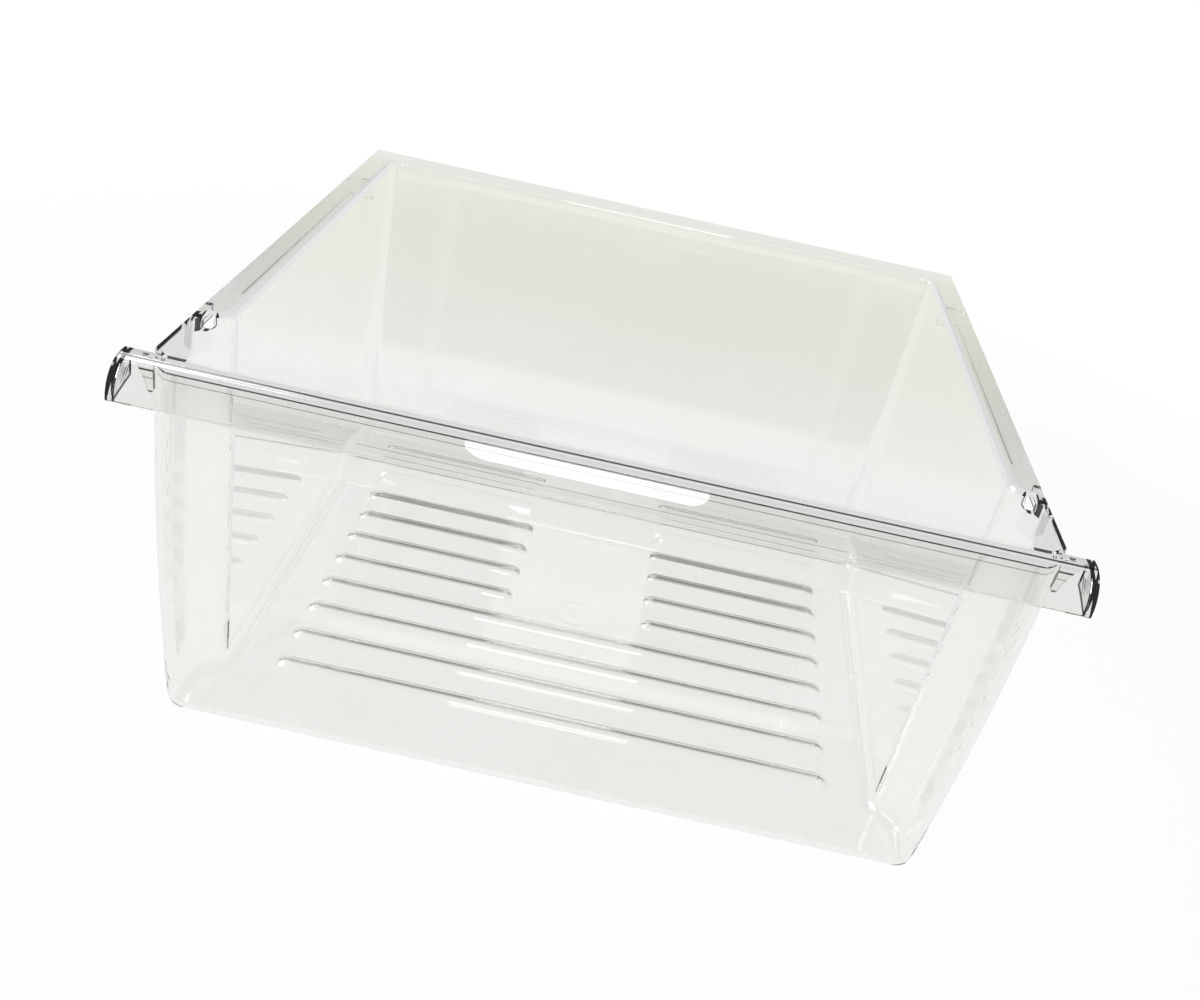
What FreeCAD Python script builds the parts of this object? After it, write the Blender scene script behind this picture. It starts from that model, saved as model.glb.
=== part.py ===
import FreeCAD, Part
import math
import os
from FreeCAD import Vector

# A clear crisper drawer, moulded in one piece: a drafted pan with a stepped floor,
# runner flanges along its rim and a hooked pull lip across its front.
# Millimetres. X runs across, Y from front to back, Z up from the floor's underside.
# While it is built, Y = 0 is the inner face of the front wall at the rim.

# Pan
rim_width = 379.0
rim_depth = 350.0
rim_height = 190.0
wall = 2.5
front_draft = 2.3
back_draft = 8.6
bay_draft = 1.8
bay_bow = 2.7
body_draft = 1.85

# Front bay, the wider part of the pan behind its front wall
bay_depth = 42.0
jog_depth = 12.5
jog_draft = 2.0
body_inset = 12.5

# Rounding of the pan, measured outside
front_corner = 9.0
jog_corner = 9.0
back_corner = 9.5
floor_edge = 8.0
rim_round = 3.5

# Step at the rear of the floor
shelf_height = 12.5
ramp_back = 58.8
ramp_run = 15.5
ramp_round = 4.0

# Flange round the rim and the runner skirts under it
flange_thickness = 2.6
rear_flange = 13.5
skirt_depth = 11.7
skirt_thickness = 2.4
skirt_lead = 18.0
skirt_rear = 64.0
skirt_corner = 7.0
runner_gap = 25.5
stop_length = 6.5
stop_depth = 7.0

# Notch in the jog, at the front end of each runner
notch_width = 4.0
notch_depth = 7.0
notch_inset = 6.0

# Pull lip
lip_overhang = 10.5
lip_reach = 18.5
lip_drop = 16.4
lip_radius = 14.5
lip_thickness = 2.8
lip_root = 4.0
lip_edge = 0.9
lip_end = 3.0
lip_end_back = 12.0
ear_drop = 14.0
ear_hollow = 1.6

# Beads pressed up in the floor
bead_width = 11.5
bead_height = 2.3
bead_pitch = 25.9
bead_first = 58.0
bead_margin = 22.9
bead_clear = 6.5
bead_gap = 38.5
long_rows = 4
shelf_bead = 13.5

# Gate mark in the middle of the floor
gate_lead = 4.1
gate_diameter = 23.0
gate_depth = 0.5
pip_diameter = 6.5

# Room that a cutting or joining solid reaches past what it meets
margin = 5.0


def lean(angle, z):
    """How far a wall of this draft stands in at height z from where it is at the rim."""
    return (rim_height - z) * math.tan(math.radians(angle))


# Places that follow from the sizes above
lip_side = rim_width / 2 + lip_overhang
jog_back = bay_depth + jog_depth
skirt_front = jog_back + runner_gap
skirt_back = rim_depth - skirt_rear
side_foot = rim_width / 2 - body_inset - lean(body_draft, 0) - wall
back_foot = rim_depth - rear_flange - lean(back_draft, 0) - wall
ramp_start = back_foot - ramp_back
bead_reach = side_foot - bead_margin
bead_rows = math.floor((ramp_start - bead_clear - bead_first) / bead_pitch) + 1
gate_y = bead_first + bead_pitch * long_rows - gate_lead


def outline_points(z):
    """Corners of the pan's outer section at height z, anticlockwise from front left."""
    share = z / rim_height
    bay = rim_width / 2 - lean(bay_draft, z) + 4 * bay_bow * share * (1 - share)
    body = rim_width / 2 - body_inset - lean(body_draft, z)
    front = lean(front_draft, z) - wall
    back = rim_depth - rear_flange - lean(back_draft, z)
    jog = bay_depth - lean(jog_draft, z)
    right = [(bay, front), (bay, jog), (body, jog + jog_depth), (body, back)]
    left = [(-x, y) for x, y in right]
    return left[:1] + right + left[:0:-1]


def inset_points(points, distance):
    """The same polygon with every side moved in by a distance."""
    moved = []
    count = len(points)
    for index in range(count):
        before = Vector(*points[index - 1])
        here = Vector(*points[index])
        after = Vector(*points[(index + 1) % count])
        a = (here - before).normalize()
        b = (after - here).normalize()
        bisector = Vector(-a.y - b.y, a.x + b.x)
        bisector.multiply(distance / (1 + a.dot(b)))
        moved.append((here.x + bisector.x, here.y + bisector.y))
    return moved


def rounded_wire(points, radii, place):
    """A closed wire through points, each corner rounded; place turns a pair into a Vector."""
    count = len(points)
    starts, ends, middles = [], [], []
    for index in range(count):
        here = Vector(*points[index])
        to_before = (Vector(*points[index - 1]) - here).normalize()
        to_after = (Vector(*points[(index + 1) % count]) - here).normalize()
        half = to_before.getAngle(to_after) / 2
        radius = radii[index]
        reach = radius / math.tan(half)
        crown = radius / math.sin(half) - radius
        starts.append(here + to_before * reach)
        ends.append(here + to_after * reach)
        middles.append(here + (to_before + to_after).normalize() * crown)
    edges = []
    for index in range(count):
        if radii[index] > 0:
            corner = [place(p.x, p.y) for p in (starts[index], middles[index], ends[index])]
            edges.append(Part.Arc(*corner).toShape())
        leave = ends[index]
        meet = starts[(index + 1) % count]
        edges.append(Part.LineSegment(place(leave.x, leave.y), place(meet.x, meet.y)).toShape())
    return Part.Wire(edges)


def section_wire(z, inset):
    """The pan's section at height z, outside or moved in by a wall."""
    points = inset_points(outline_points(z), inset)
    front = front_corner - inset
    convex = jog_corner - inset
    concave = jog_corner + inset
    back = back_corner - inset
    radii = [front, front, convex, concave, back, back, concave, convex]
    return rounded_wire(points, radii, lambda x, y: Vector(x, y, z))


def below_floor(raise_by):
    """Everything under the stepped floor, with the floor's line moved out by a thickness."""
    slope = math.atan2(shelf_height, ramp_run)
    shift = raise_by * math.tan(slope / 2)
    low = -6 * margin
    far = rim_depth + margin
    points = [(low, low), (far, low), (far, shelf_height + raise_by),
              (ramp_start + ramp_run - shift, shelf_height + raise_by),
              (ramp_start - shift, raise_by), (low, raise_by)]
    radii = [0, 0, 0, ramp_round + raise_by, ramp_round, 0]
    side = -rim_width
    wire = rounded_wire(points, radii, lambda y, z: Vector(side, y, z))
    return Part.Face(wire).extrude(Vector(2 * rim_width, 0, 0))


def floor_edges(solid):
    """Edges where the floor meets the walls."""
    found = []
    for edge in solid.Edges:
        middle = edge.valueAt((edge.FirstParameter + edge.LastParameter) / 2)
        downward = 0
        for face in solid.ancestorsOfType(edge, Part.Face):
            if face.normalAt(*face.Surface.parameter(middle)).z < -0.5:
                downward += 1
        if downward == 1:
            found.append(edge)
    return found


def pan_solid(inset, top):
    """The pan as a full block: its outside, or the hollow inside when moved in by a wall."""
    for foot in (2 * margin, 3 * margin, 4 * margin):
        levels = [-foot, (top - foot) / 2, top]
        block = Part.makeLoft([section_wire(z, inset) for z in levels], True, False)
        block = block.cut(below_floor(inset))
        try:
            return block.makeFillet(floor_edge - inset, floor_edges(block))
        except Part.OCCError:
            print("floor rounding does not close with the walls from", -foot)


def rim_flange():
    """The flat flange outside the side and rear walls, in line with the front bay."""
    flange = Part.makeBox(rim_width, rim_depth - bay_depth, flange_thickness)
    flange.translate(Vector(-rim_width / 2, bay_depth, rim_height - flange_thickness))
    return flange


def runner_skirt(side):
    """A skirt under the flange's outer edge, turned in to the wall at its rear end."""
    outer = rim_width / 2
    inner = outer - body_inset - wall
    bottom = rim_height - skirt_depth
    rise = skirt_depth - flange_thickness
    points = [(inner, skirt_front), (outer, skirt_front), (outer, skirt_back), (inner, skirt_back)]
    hollow = [(inner, skirt_front - margin), (outer - skirt_thickness, skirt_front - margin),
              (outer - skirt_thickness, skirt_back - skirt_thickness),
              (inner, skirt_back - skirt_thickness)]
    solids = []
    for corners, corner in ((points, skirt_corner), (hollow, skirt_corner - skirt_thickness)):
        wire = rounded_wire(corners, [0, 0, corner, 0], lambda x, y: Vector(x, y, bottom))
        solids.append(Part.Face(wire).extrude(Vector(0, 0, rise)))
    skirt = solids[0].cut(solids[1])
    lead = Part.makePolygon([Vector(inner, skirt_front, bottom + rise),
                             Vector(inner, skirt_front - margin, bottom + rise),
                             Vector(inner, skirt_front - margin, bottom),
                             Vector(inner, skirt_front + skirt_lead, bottom),
                             Vector(inner, skirt_front, bottom + rise)])
    skirt = skirt.cut(Part.Face(lead).extrude(Vector(outer, 0, 0)))
    if side < 0:
        skirt = skirt.mirror(Vector(0, 0, 0), Vector(1, 0, 0))
    return skirt


def stop_rib(side):
    """A short rib that carries the bay's side on behind the jog, under the flange."""
    rib = Part.makeBox(skirt_thickness, jog_back + stop_length - bay_depth, stop_depth)
    x = rim_width / 2 - skirt_thickness if side > 0 else -rim_width / 2
    rib.translate(Vector(x, bay_depth, rim_height - stop_depth))
    return rib


def mouth_edges(solid):
    """Edges round the mouth of the pan, on its inner side."""
    found = []
    for face in solid.Faces:
        level = face.CenterOfMass.z > rim_height - flange_thickness / 2
        if level and face.normalAt(0, 0).z > 0.99:
            for wire in face.Wires:
                if not wire.isSame(face.OuterWire):
                    found += wire.Edges
    return found


def rim_bends(hollow):
    """What the walls lose where they bend out: at the front into the lip, at the rear into the flange."""
    depth = 2 * rim_round
    low = Vector(-rim_width, -rim_depth, rim_height - depth)
    slab = Part.makeBox(2 * rim_width, 3 * rim_depth, depth, low)
    ring = slab.cut(hollow)
    mouth = slab.cut(ring.makeFillet(rim_round, mouth_edges(ring)))
    front = Part.makeBox(2 * rim_width, rim_depth, depth, low)
    rear = Part.makeBox(2 * rim_width, 2 * rim_depth, depth, low + Vector(0, rim_depth + bay_depth, 0))
    return [mouth.common(front), mouth.common(rear)]


def notch(side):
    """A round-bottomed slot down through the jog's wall, just inside the rim's edge."""
    radius = notch_width / 2
    x = side * (rim_width / 2 - notch_inset)
    length = jog_depth
    slot = Part.makeBox(notch_width, length, notch_depth - radius + margin)
    slot.translate(Vector(x - radius, bay_depth - wall, rim_height - notch_depth + radius))
    round_end = Part.makeCylinder(radius, length, Vector(x, bay_depth - wall, 0), Vector(0, 1, 0))
    round_end.translate(Vector(0, 0, rim_height - notch_depth + radius))
    return slot.fuse(round_end)


def lip_profile(x, filled):
    """The lip's section at x: a plate that turns down through a quarter round, or its end wall."""
    def at(y, z):
        return Vector(x, y, rim_height + z)
    front = -lip_reach
    inside = front + lip_thickness
    bend = front + lip_radius
    slant = math.sqrt(0.5)
    outer_mid = at(bend - lip_radius * slant, (slant - 1) * lip_radius)
    inner_radius = lip_radius - lip_thickness
    inner_mid = at(bend - inner_radius * slant, inner_radius * slant - lip_radius)
    ease = lip_edge * (1 - slant)
    edges = [Part.LineSegment(at(0, 0), at(bend, 0)),
             Part.Arc(at(bend, 0), outer_mid, at(front, -lip_radius)),
             Part.LineSegment(at(front, -lip_radius), at(front, lip_edge - lip_drop)),
             Part.Arc(at(front, lip_edge - lip_drop), at(front + ease, ease - lip_drop),
                      at(front + lip_edge, -lip_drop)),
             Part.LineSegment(at(front + lip_edge, -lip_drop), at(inside - lip_edge, -lip_drop))]
    if filled:
        edges += [Part.LineSegment(at(inside - lip_edge, -lip_drop), at(0, -lip_end_back)),
                  Part.LineSegment(at(0, -lip_end_back), at(0, 0))]
    else:
        edges += [Part.Arc(at(inside - lip_edge, -lip_drop), at(inside - ease, ease - lip_drop),
                           at(inside, lip_edge - lip_drop)),
                  Part.LineSegment(at(inside, lip_edge - lip_drop), at(inside, -lip_radius)),
                  Part.Arc(at(inside, -lip_radius), inner_mid, at(bend, -lip_thickness)),
                  Part.LineSegment(at(bend, -lip_thickness), at(0, -lip_thickness)),
                  Part.LineSegment(at(0, -lip_thickness), at(0, 0))]
    return Part.Face(Part.Wire([edge.toShape() for edge in edges]))


def lip_ear(side):
    """A web in line with the front wall that carries the lip out past the pan's side."""
    root = rim_width / 2
    inner = root - wall
    top = rim_height - lip_thickness
    low = Vector(root, 0, top - ear_drop)
    out = Vector(lip_side - lip_end, 0, top)
    along = (out - low).normalize()
    middle = (low + out) / 2 + Vector(-along.z, 0, along.x) * ear_hollow
    edges = [Part.Arc(low, middle, out),
             Part.LineSegment(out, Vector(inner, 0, top)),
             Part.LineSegment(Vector(inner, 0, top), Vector(inner, 0, low.z)),
             Part.LineSegment(Vector(inner, 0, low.z), low)]
    face = Part.Face(Part.Wire([edge.toShape() for edge in edges]))
    ear = face.extrude(Vector(0, -wall, 0))
    if side < 0:
        ear = ear.mirror(Vector(0, 0, 0), Vector(1, 0, 0))
    return ear


def lip_root_fillet():
    """The rounding between the front wall and the underside of the lip, carried round its corners."""
    x = rim_width / 2 - front_corner
    z = rim_height - lip_thickness
    low = z - lip_root
    high = z + lip_thickness / 2
    face_at = lean(front_draft, z) - wall
    out = face_at - lip_root
    points = [(0, high), (out, high), (out, z), (face_at, z), (lean(front_draft, low) - wall, low), (0, low)]
    section = Part.Face(rounded_wire(points, [0, 0, 0, lip_root, 0, 0], lambda y, z: Vector(x, y, z)))
    turn = math.degrees(math.acos(1 - wall / front_corner))
    corner = section.revolve(Vector(x, front_corner - wall, 0), Vector(0, 0, 1), turn)
    return [section.extrude(Vector(-2 * x, 0, 0)), corner, corner.mirror(Vector(0, 0, 0), Vector(1, 0, 0))]


def pull_lip():
    """The hooked lip with a wall at each end."""
    return [lip_profile(-lip_side, False).extrude(Vector(2 * lip_side, 0, 0)),
            lip_profile(-lip_side, True).extrude(Vector(lip_end, 0, 0)),
            lip_profile(lip_side - lip_end, True).extrude(Vector(lip_end, 0, 0)),
            lip_ear(-1), lip_ear(1)] + lip_root_fillet()


def bead(x_from, x_to):
    """A long low dome on the plane Z = 0, with round ends and a foot that reaches below."""
    half = bead_width / 2
    foot = wall / 2
    start = x_from + half
    end = x_to - half
    arc = Part.Arc(Vector(start, -half, 0), Vector(start, 0, bead_height), Vector(start, half, 0))
    base = Part.makePolygon([Vector(start, half, 0), Vector(start, half, -foot),
                             Vector(start, -half, -foot), Vector(start, -half, 0)])
    section = Part.Face(Part.Wire([arc.toShape()] + base.Edges))
    keep = Part.makeBox(bead_width, half, 2 * bead_width)
    keep.translate(Vector(start - half, 0, -bead_width))
    half_section = section.common(keep)
    bar = section.extrude(Vector(end - start, 0, 0))
    first = half_section.revolve(Vector(start, 0, 0), Vector(0, 0, 1), 180)
    last = half_section.translated(Vector(end - start, 0, 0))
    last = last.revolve(Vector(end, 0, 0), Vector(0, 0, 1), -180)
    return bar.fuse([first, last]).removeSplitter()


def bead_places():
    """Where each bead lies: its two ends in X, then its seat's Y, Z and slope."""
    slope = math.degrees(math.atan2(shelf_height, ramp_run))
    seats = [(bead_first + bead_pitch * row, 0, 0) for row in range(bead_rows)]
    seats += [(ramp_start + ramp_run / 2, shelf_height / 2, slope),
              (ramp_start + ramp_run + shelf_bead, shelf_height, 0)]
    places = []
    for row, seat in enumerate(seats):
        if row < long_rows:
            places.append((-bead_reach, bead_reach) + seat)
        else:
            places.append((-bead_reach, -bead_gap) + seat)
            places.append((bead_gap, bead_reach) + seat)
    return places


def floor_beads(raise_by):
    """All the beads, standing on the floor's underside or moved out by its thickness."""
    solids = []
    for x_from, x_to, y, z, slope in bead_places():
        solid = bead(x_from, x_to)
        solid.translate(Vector(0, 0, raise_by))
        solid.rotate(Vector(0, 0, 0), Vector(1, 0, 0), slope)
        solid.translate(Vector(0, y, z))
        solids.append(solid)
    return solids


def gate_ring():
    """The shallow disc round the gate, less the pip that stands in it."""
    foot = Vector(0, gate_y, wall - gate_depth)
    disc = Part.makeCylinder(gate_diameter / 2, gate_depth + margin, foot)
    return disc.cut(Part.makeCylinder(pip_diameter / 2, gate_depth + margin, foot))


def drawer_pan():
    """The whole drawer, with its origin under the middle of its overall box."""
    pan = pan_solid(0, rim_height)
    rails = [part(side) for side in (-1, 1) for part in (runner_skirt, stop_rib)]
    pan = pan.fuse([rim_flange()] + rails + pull_lip())
    hollow = pan_solid(wall, rim_height + margin)
    pan = pan.cut([hollow] + rim_bends(hollow))
    pan = pan.fuse(floor_beads(wall))
    pan = pan.cut(floor_beads(0) + [notch(-1), notch(1), gate_ring()])
    pan = pan.removeSplitter()
    pan.translate(Vector(0, (lip_reach - rim_depth) / 2, 0))
    return pan.Solids[0]


os.makedirs("parts", exist_ok=True)
shape = drawer_pan()
print("valid", shape.isValid(), "volume", round(shape.Volume))
shape.exportStep("parts/drawer_pan.step")
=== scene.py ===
import math
import bpy
import numpy as np
from mathutils import Matrix, Vector

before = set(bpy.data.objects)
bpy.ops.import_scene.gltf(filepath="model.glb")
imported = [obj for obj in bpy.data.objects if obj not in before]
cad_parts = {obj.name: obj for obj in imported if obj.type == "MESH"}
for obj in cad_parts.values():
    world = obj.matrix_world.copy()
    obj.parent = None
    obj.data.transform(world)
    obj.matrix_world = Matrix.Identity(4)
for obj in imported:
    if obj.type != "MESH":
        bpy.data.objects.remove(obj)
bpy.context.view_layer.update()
scene = bpy.context.scene
scene.view_settings.view_transform = "Standard"
rayBounces = 11                           # rays cross many walls
scene.cycles.max_bounces = rayBounces
scene.cycles.transmission_bounces = rayBounces
scene.cycles.glossy_bounces = rayBounces
print("frame loaded:", sorted(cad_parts))


# camera: the photograph's place, tilt and lean
shot = {
    "sensor": 36.0,                       # mm
    "lens": 37.50,
    "nearest": 0.01,
    "place": (0.00195, -0.61401, 0.41955),
    "down": 29.301,                       # degrees below the horizon
    "turn": 0.210,
    "lean": 12.385,
}


def makeCamera():
    data = bpy.data.cameras.new("shot")
    data.sensor_width = shot["sensor"]
    data.lens = shot["lens"]
    data.clip_start = shot["nearest"]
    camera = bpy.data.objects.new("shot", data)
    scene.collection.objects.link(camera)
    aim = Matrix.Rotation(math.radians(shot["turn"]), 4, "Z")
    aim = aim @ Matrix.Rotation(math.radians(90 - shot["down"]), 4, "X")
    aim = aim @ Matrix.Rotation(math.radians(shot["lean"]), 4, "Z")
    camera.matrix_world = Matrix.Translation(shot["place"]) @ aim
    scene.camera = camera


makeCamera()
print("camera set")


# small helpers for node trees
white = (1.0, 1.0, 1.0, 1.0)
anyBounce = 0.5                           # between no bounce and the first one


def newTree(owner):
    owner.use_nodes = True
    tree = owner.node_tree
    tree.nodes.clear()
    return tree


def addNode(tree, kind, **values):
    node = tree.nodes.new(kind)
    for name, value in values.items():
        setattr(node, name, value)
    return node


def feed(tree, socket, value):
    # a node's output is linked to the socket, a number or colour is set on it
    if isinstance(value, bpy.types.NodeSocket):
        tree.links.new(value, socket)
    else:
        socket.default_value = value


def mathNode(tree, operation, *values):
    node = addNode(tree, "ShaderNodeMath", operation=operation)
    for socket, value in zip(node.inputs, values):
        feed(tree, socket, value)
    return node.outputs[0]


def allOf(tree, mask, *others):
    for other in others:
        mask = mathNode(tree, "MULTIPLY", mask, other)
    return mask


def anyOf(tree, mask, *others):
    for other in others:
        mask = mathNode(tree, "MAXIMUM", mask, other)
    return mask


def over(tree, value, limit):
    return mathNode(tree, "GREATER_THAN", value, limit)


def under(tree, value, limit):
    return mathNode(tree, "LESS_THAN", value, limit)


def within(tree, value, span):
    # 1 where the value is inside the span, given as its middle and half width
    return mathNode(tree, "COMPARE", value, *span)


def colourMix(tree, factor, first, second, blend="MIX"):
    node = addNode(tree, "ShaderNodeMix", data_type="RGBA", blend_type=blend)
    for name, value in (("Factor", factor), ("A", first), ("B", second)):
        feed(tree, node.inputs[name], value)
    return node.outputs["Result"]


def shaderMix(tree, factor, first, second):
    node = addNode(tree, "ShaderNodeMixShader")
    for socket, value in zip(node.inputs, (factor, first, second)):
        tree.links.new(value, socket)
    return node.outputs["Shader"]


def splitPlace(tree, where):
    node = addNode(tree, "ShaderNodeSeparateXYZ")
    tree.links.new(where, node.inputs[0])
    return node.outputs["X"], node.outputs["Y"], node.outputs["Z"]


def noiseNode(tree, where, size, detail, stretch=None):
    # noise whose features are about size metres long, times stretch along each axis
    node = addNode(tree, "ShaderNodeTexNoise")
    node.inputs["Scale"].default_value = 1 / size
    node.inputs["Detail"].default_value = detail
    if stretch:
        spread = addNode(tree, "ShaderNodeMapping")
        spread.inputs["Scale"].default_value = [1 / along for along in stretch]
        tree.links.new(where, spread.inputs["Vector"])
        where = spread.outputs["Vector"]
    tree.links.new(where, node.inputs["Vector"])
    return node.outputs[0]


def rangeNode(tree, value, start, end, first=0.0, last=1.0):
    # smooth step from first to last as the value goes from start to end
    node = addNode(tree, "ShaderNodeMapRange", interpolation_type="SMOOTHSTEP")
    for name, number in (("From Min", start), ("From Max", end), ("To Min", first), ("To Max", last)):
        node.inputs[name].default_value = number
    tree.links.new(value, node.inputs["Value"])
    return node.outputs["Result"]


# clear plastic of the pan; a span is its middle and half width
plastic = {
    "tint": (0.996, 0.996, 0.986, 1.0),
    "slowTint": (0.989, 0.990, 0.976, 1.0),   # where the melt set more slowly
    "ior": 1.57,
    "flowSize": 0.07,
    "flowRange": (0.35, 0.65),
    "flowHeight": 0.00003,
    "polish": 0.01,
    "dull": 0.03,                             # roughness where hands and food have rubbed
    "dullSize": 0.04,
    "dullRange": (0.46, 0.7),
    "hairSize": 0.0006,
    "hairStretch": (1.0, 90.0, 1.0),          # hairlines run from front to back
    "hairRange": (0.66, 0.74),
    "hairDull": 0.04,
    "haze": 0.004,
    "dullHaze": 0.006,
    "hazeColour": (0.95, 0.95, 0.95, 1.0),
    "lampThrough": (0.94, 0.94, 0.93, 1.0),   # what a wall lets through of the lamps' light
    "paintedShadeLines": {                                 # painted shade: dark lines and a grey band along the lip's root
        "wall": -0.168,
        "reach": (-0.1700, 0.0036),           # strip that has the lines
        "path": (0.1780, 0.1960),             # up the wall, then forward over the lip's top
        "edge": (0.7, 1.3),                   # a line fades between these shares of its half width
        "lines": (                            # middle, half width, tone
            (0.1797, 0.00016, (0.02, 0.02, 0.016, 1.0)),
            (0.1830, 0.00042, (0.003, 0.003, 0.002, 1.0)),
            (0.1872, 0.00380, (0.78, 0.77, 0.82, 1.0)),
            (0.1942, 0.00044, (0.006, 0.006, 0.006, 1.0)),
        ),
    },
    "paintedLightAndShade": {                                # painted light and shade: light that stays inside a wall ends in one of these emitted tones
        "tone": (0.79, 0.78, 0.80, 1.0),
        "from": 7,                            # bounces
        "darkTone": (0.02, 0.02, 0.018, 1.0),   # painted shade in the floor, the bay's rim and the lip's ends
        "floorTop": (0.0175, 0.0185),
        "rimSide": 0.1805,
        "rimSpan": (-0.13725, 0.02425),
        "rimLow": 0.172,
        "rimBounces": (2.5, 1.2),
        "endSide": 0.1965,
        "endFrom": 3,
        "flangeTone": (0.86, 0.855, 0.82, 1.0),   # painted glow on the back flange
        "flangeStart": 0.1703,
        "flangeLow": 0.1868,
        "rootSpan": (-0.1700, 0.0022),        # and a painted glow on the lip's root
        "rootRise": (0.1852, 0.0019),
    },
}


# the tint, with painted shade: dark lines and a grey band along the lip's root
def tintWithPaintedLines(group, where, tint):
    # the tint, darkened where a line of the mould runs
    paintedShadeLines = plastic["paintedShadeLines"]
    _, y, z = splitPlace(group, where)
    start, end = paintedShadeLines["path"]
    scale = 1 / (end - start)
    along = mathNode(group, "SUBTRACT", z, mathNode(group, "SUBTRACT", y, paintedShadeLines["wall"]))
    ramp = addNode(group, "ShaderNodeValToRGB")
    group.links.new(mathNode(group, "MULTIPLY_ADD", along, scale, -start * scale), ramp.inputs["Fac"])
    stops = ramp.color_ramp.elements
    stops[0].color = stops[1].color = white
    inner, outer = paintedShadeLines["edge"]
    for middle, half, tone in paintedShadeLines["lines"]:
        for step, colour in ((-outer, white), (-inner, tone), (inner, tone), (outer, white)):
            stops.new((middle + step * half - start) * scale).color = colour
    return colourMix(group, within(group, y, paintedShadeLines["reach"]), tint, ramp.outputs["Color"], "MULTIPLY")


def plasticDetail():
    # tint with painted shade lines along the lip's root, roughness, haze and normal of moulded clear
    # plastic that has been used
    group = bpy.data.node_groups.new("plasticDetail", "ShaderNodeTree")
    for name, kind in (("Tint", "Color"), ("Roughness", "Float"), ("Haze", "Float"), ("Normal", "Vector")):
        group.interface.new_socket(name, in_out="OUTPUT", socket_type="NodeSocket" + kind)
    out = addNode(group, "NodeGroupOutput")
    where = addNode(group, "ShaderNodeTexCoord").outputs["Object"]

    flow = noiseNode(group, where, plastic["flowSize"], 0.0)
    slow = rangeNode(group, flow, *plastic["flowRange"])
    tint = colourMix(group, slow, plastic["tint"], plastic["slowTint"])
    # painted shade lines along the lip's root go into the tint
    group.links.new(tintWithPaintedLines(group, where, tint), out.inputs["Tint"])

    rubbed = rangeNode(group, noiseNode(group, where, plastic["dullSize"], 1.0), *plastic["dullRange"])
    hair = noiseNode(group, where, plastic["hairSize"], 0.0, plastic["hairStretch"])
    hair = allOf(group, rangeNode(group, hair, *plastic["hairRange"]), rubbed)
    rough = mathNode(group, "MULTIPLY_ADD", rubbed, plastic["dull"], plastic["polish"])
    rough = mathNode(group, "MULTIPLY_ADD", hair, plastic["hairDull"], rough)
    group.links.new(rough, out.inputs["Roughness"])
    haze = mathNode(group, "MULTIPLY_ADD", rubbed, plastic["dullHaze"], plastic["haze"])
    group.links.new(haze, out.inputs["Haze"])

    bump = addNode(group, "ShaderNodeBump")
    bump.inputs["Distance"].default_value = plastic["flowHeight"]
    group.links.new(flow, bump.inputs["Height"])
    group.links.new(bump.outputs["Normal"], out.inputs["Normal"])
    return group


def paintedGuidedLight(tree, depth):
    # the mask of rays that end here, and the shader they end in: painted glow and painted shade
    paintedLightAndShade = plastic["paintedLightAndShade"]
    x, y, z = splitPlace(tree, addNode(tree, "ShaderNodeTexCoord").outputs["Object"])
    across = mathNode(tree, "ABSOLUTE", x)
    rim = allOf(tree, over(tree, across, paintedLightAndShade["rimSide"]), within(tree, y, paintedLightAndShade["rimSpan"]),
                over(tree, z, paintedLightAndShade["rimLow"]), within(tree, depth, paintedLightAndShade["rimBounces"]))
    end = allOf(tree, over(tree, across, paintedLightAndShade["endSide"]), over(tree, depth, paintedLightAndShade["endFrom"]))
    dark = anyOf(tree, rim, end)
    flange = allOf(tree, over(tree, y, paintedLightAndShade["flangeStart"]), over(tree, z, paintedLightAndShade["flangeLow"]))
    root = allOf(tree, within(tree, y, paintedLightAndShade["rootSpan"]), within(tree, z, paintedLightAndShade["rootRise"]))
    pale = allOf(tree, anyOf(tree, flange, root), over(tree, depth, anyBounce))
    low = rangeNode(tree, z, *paintedLightAndShade["floorTop"], 1.0, 0.0)
    tone = colourMix(tree, anyOf(tree, dark, low), paintedLightAndShade["tone"], paintedLightAndShade["darkTone"])
    glow = addNode(tree, "ShaderNodeEmission")
    tree.links.new(colourMix(tree, flange, tone, paintedLightAndShade["flangeTone"]), glow.inputs["Color"])
    ends = anyOf(tree, over(tree, depth, paintedLightAndShade["from"]), dark, pale)
    return ends, glow.outputs["Emission"]


def clearPlastic():
    material = bpy.data.materials.new("clearPlastic")
    tree = newTree(material)
    out = addNode(tree, "ShaderNodeOutputMaterial")
    path = addNode(tree, "ShaderNodeLightPath")
    depth = path.outputs["Ray Depth"]
    firstWall = under(tree, depth, anyBounce)   # haze and dullness count on the first wall only

    detail = addNode(tree, "ShaderNodeGroup", node_tree=plasticDetail())
    body = addNode(tree, "ShaderNodeBsdfPrincipled")
    body.inputs["IOR"].default_value = plastic["ior"]
    body.inputs["Transmission Weight"].default_value = 1.0
    tree.links.new(detail.outputs["Tint"], body.inputs["Base Color"])
    tree.links.new(allOf(tree, detail.outputs["Roughness"], firstWall), body.inputs["Roughness"])
    tree.links.new(detail.outputs["Normal"], body.inputs["Normal"])
    veil = addNode(tree, "ShaderNodeBsdfTranslucent")
    veil.inputs["Color"].default_value = plastic["hazeColour"]
    haze = allOf(tree, detail.outputs["Haze"], firstWall)
    wall = shaderMix(tree, haze, body.outputs["BSDF"], veil.outputs["BSDF"])

    # rays that stay inside a wall end in a painted glow or painted shade
    ends, glow = paintedGuidedLight(tree, depth)
    wall = shaderMix(tree, ends, wall, glow)
    clear = addNode(tree, "ShaderNodeBsdfTransparent")
    clear.inputs["Color"].default_value = plastic["lampThrough"]
    wall = shaderMix(tree, path.outputs["Is Shadow Ray"], wall, clear.outputs["BSDF"])
    tree.links.new(wall, out.inputs["Surface"])
    return material


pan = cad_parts["drawer_pan"]
pan.data.materials.clear()
pan.data.materials.append(clearPlastic())
print("pan finished")


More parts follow.
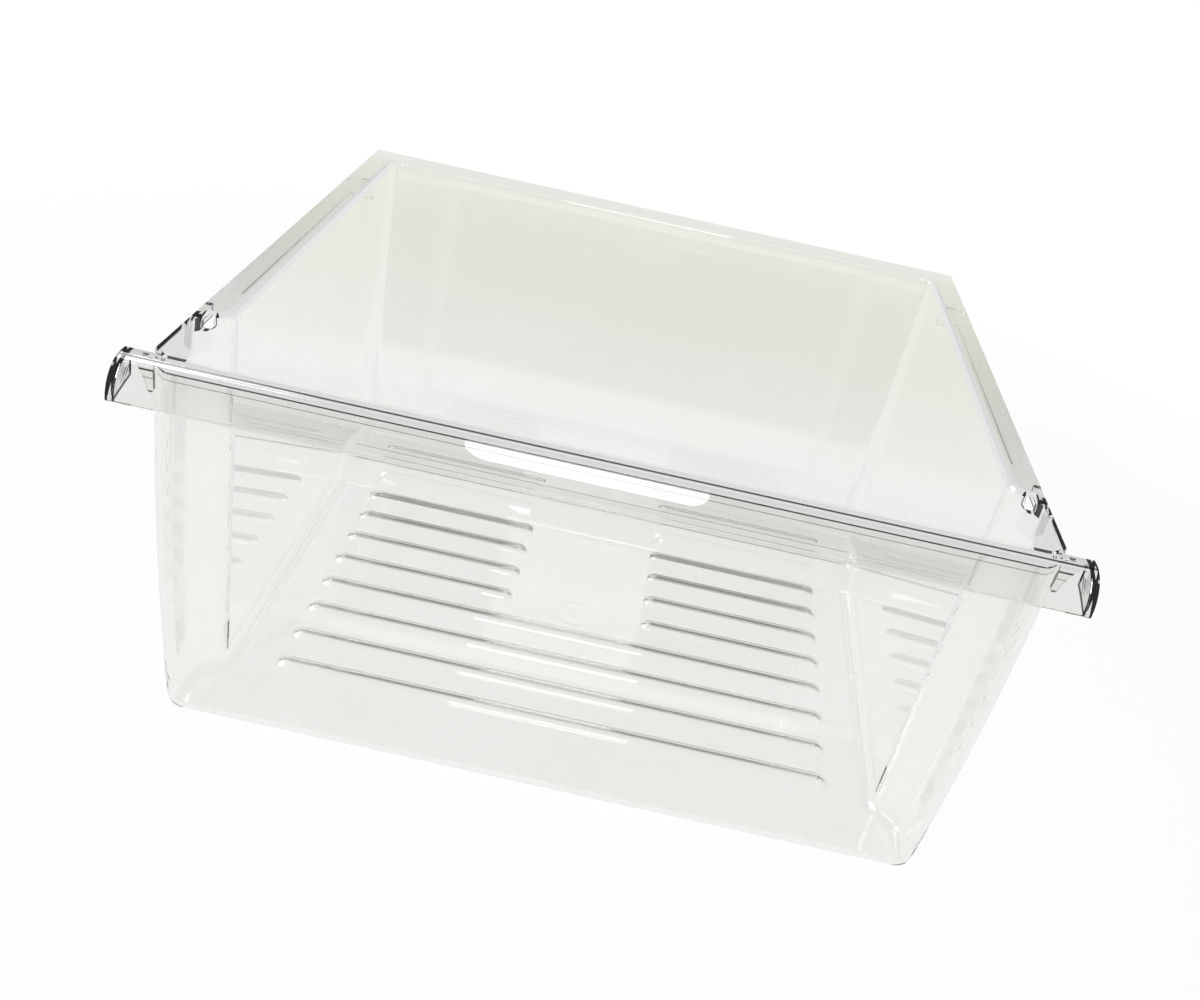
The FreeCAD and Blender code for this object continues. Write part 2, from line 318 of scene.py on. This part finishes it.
# floor and room
room = {
    "floorSize": 60.0,
    "floorCells": 8,
    "floorColour": (0.86, 0.86, 0.86, 1.0),
    "nearTone": (0.895, 0.895, 0.89, 1.0),    # floor as seen through the plastic, near
    "farTone": (0.865, 0.858, 0.785, 1.0),    # and further back
    "farSpan": (0.22, 0.60),
    "frontTone": (0.03, 0.03, 0.03, 1.0),     # mirrored in the plastic, the floor in front goes dark
    "frontSpan": (-0.36, -0.52),
    "shadow": 0.05,                           # share of the floor that keeps the shadow
    "shadowTo": 0.9,
    "backdropTone": (0.865, 0.858, 0.785, 1.0),
    "backdropTop": (0.38, 0.22),              # sine of the elevation where the backdrop ends
    "backdropSide": (-0.5, 0.1),
    "dimTone": (0.10, 0.10, 0.10, 1.0),       # the room above and behind the camera, mirrored
}


def backgroundRays(tree, path):
    # 1 for rays that show the background: straight from the camera, mirrored or passed through
    return anyOf(tree, path.outputs["Is Camera Ray"], path.outputs["Is Glossy Ray"],
                 path.outputs["Is Transmission Ray"])


def floorMaterial():
    # white to the camera; grey-white, turning warmer with distance, where plastic shows it
    material = bpy.data.materials.new("paleFloor")
    tree = newTree(material)
    out = addNode(tree, "ShaderNodeOutputMaterial")
    path = addNode(tree, "ShaderNodeLightPath")
    where = addNode(tree, "ShaderNodeTexCoord").outputs["Object"]
    _, y, _ = splitPlace(tree, where)
    tone = colourMix(tree, rangeNode(tree, y, *room["farSpan"]), room["nearTone"], room["farTone"])
    mirrored = over(tree, path.outputs["Glossy Depth"], anyBounce)
    front = allOf(tree, rangeNode(tree, y, *room["frontSpan"]), mirrored)
    tone = colourMix(tree, front, tone, room["frontTone"])
    tone = colourMix(tree, path.outputs["Is Camera Ray"], tone, white)
    lit = addNode(tree, "ShaderNodeBsdfDiffuse")
    lit.inputs["Color"].default_value = room["floorColour"]
    pale = addNode(tree, "ShaderNodeEmission")
    tree.links.new(tone, pale.inputs["Color"])
    length = addNode(tree, "ShaderNodeVectorMath", operation="LENGTH")
    tree.links.new(where, length.inputs[0])
    far = rangeNode(tree, length.outputs["Value"], room["shadowTo"] / 2, room["shadowTo"],
                    1 - room["shadow"], 1.0)
    share = allOf(tree, backgroundRays(tree, path), far)
    floor = shaderMix(tree, share, lit.outputs["BSDF"], pale.outputs["Emission"])
    tree.links.new(floor, out.inputs["Surface"])
    return material


def makeFloor():
    # a flat square grid at height 0: x and y in even steps from -half to half
    half = room["floorSize"] / 2
    cells = room["floorCells"]
    steps = np.linspace(-half, half, cells + 1)
    x, y = np.meshgrid(steps, steps)
    points = np.stack([x.ravel(), y.ravel(), np.zeros(x.size)], axis=1)
    row, column = np.meshgrid(np.arange(cells), np.arange(cells), indexing="ij")
    first = (row * (cells + 1) + column).ravel()
    faces = np.stack([first, first + 1, first + cells + 2, first + cells + 1], axis=1)
    mesh = bpy.data.meshes.new("floor")
    mesh.from_pydata(points.tolist(), [], faces.tolist())
    mesh.materials.append(floorMaterial())
    floor = bpy.data.objects.new("floor", mesh)
    scene.collection.objects.link(floor)


def makeRoom():
    # white to the camera; pale through the plastic; mirrored in it, a pale backdrop and a dim room
    world = bpy.data.worlds.new("room")
    scene.world = world
    tree = newTree(world)
    out = addNode(tree, "ShaderNodeOutputWorld")
    path = addNode(tree, "ShaderNodeLightPath")
    _, y, z = splitPlace(tree, addNode(tree, "ShaderNodeTexCoord").outputs["Generated"])
    backdrop = allOf(tree, rangeNode(tree, z, *room["backdropTop"]),
                     rangeNode(tree, y, *room["backdropSide"]))
    straight = allOf(tree, under(tree, path.outputs["Glossy Depth"], anyBounce),
                     path.outputs["Is Transmission Ray"])
    tone = colourMix(tree, anyOf(tree, backdrop, straight), room["dimTone"], room["backdropTone"])
    light = addNode(tree, "ShaderNodeBackground")
    tree.links.new(colourMix(tree, path.outputs["Is Camera Ray"], tone, white), light.inputs["Color"])
    tree.links.new(light.outputs["Background"], out.inputs["Surface"])


# lamps: one strip softbox above the front, one fill
lamps = {
    "strip": {"place": (-0.015, -0.40, 0.58), "target": (-0.015, -0.30, 0.08),
              "size": (0.185, 0.49), "power": 1.3},
    "fill": {"place": (-0.9, 0.5, 1.1), "target": (0.0, 0.0, 0.1),
             "size": (0.8, 0.8), "power": 10.0},
}


def makeLamp(name, values):
    data = bpy.data.lights.new(name, "AREA")
    data.shape = "RECTANGLE"
    data.size, data.size_y = values["size"]
    data.energy = values["power"]
    lamp = bpy.data.objects.new(name, data)
    scene.collection.objects.link(lamp)
    lamp.location = values["place"]
    look = Vector(values["target"]) - Vector(values["place"])
    lamp.rotation_euler = look.to_track_quat("-Z", "Y").to_euler()


makeFloor()
makeRoom()
for name, values in lamps.items():
    makeLamp(name, values)
print("studio ready")
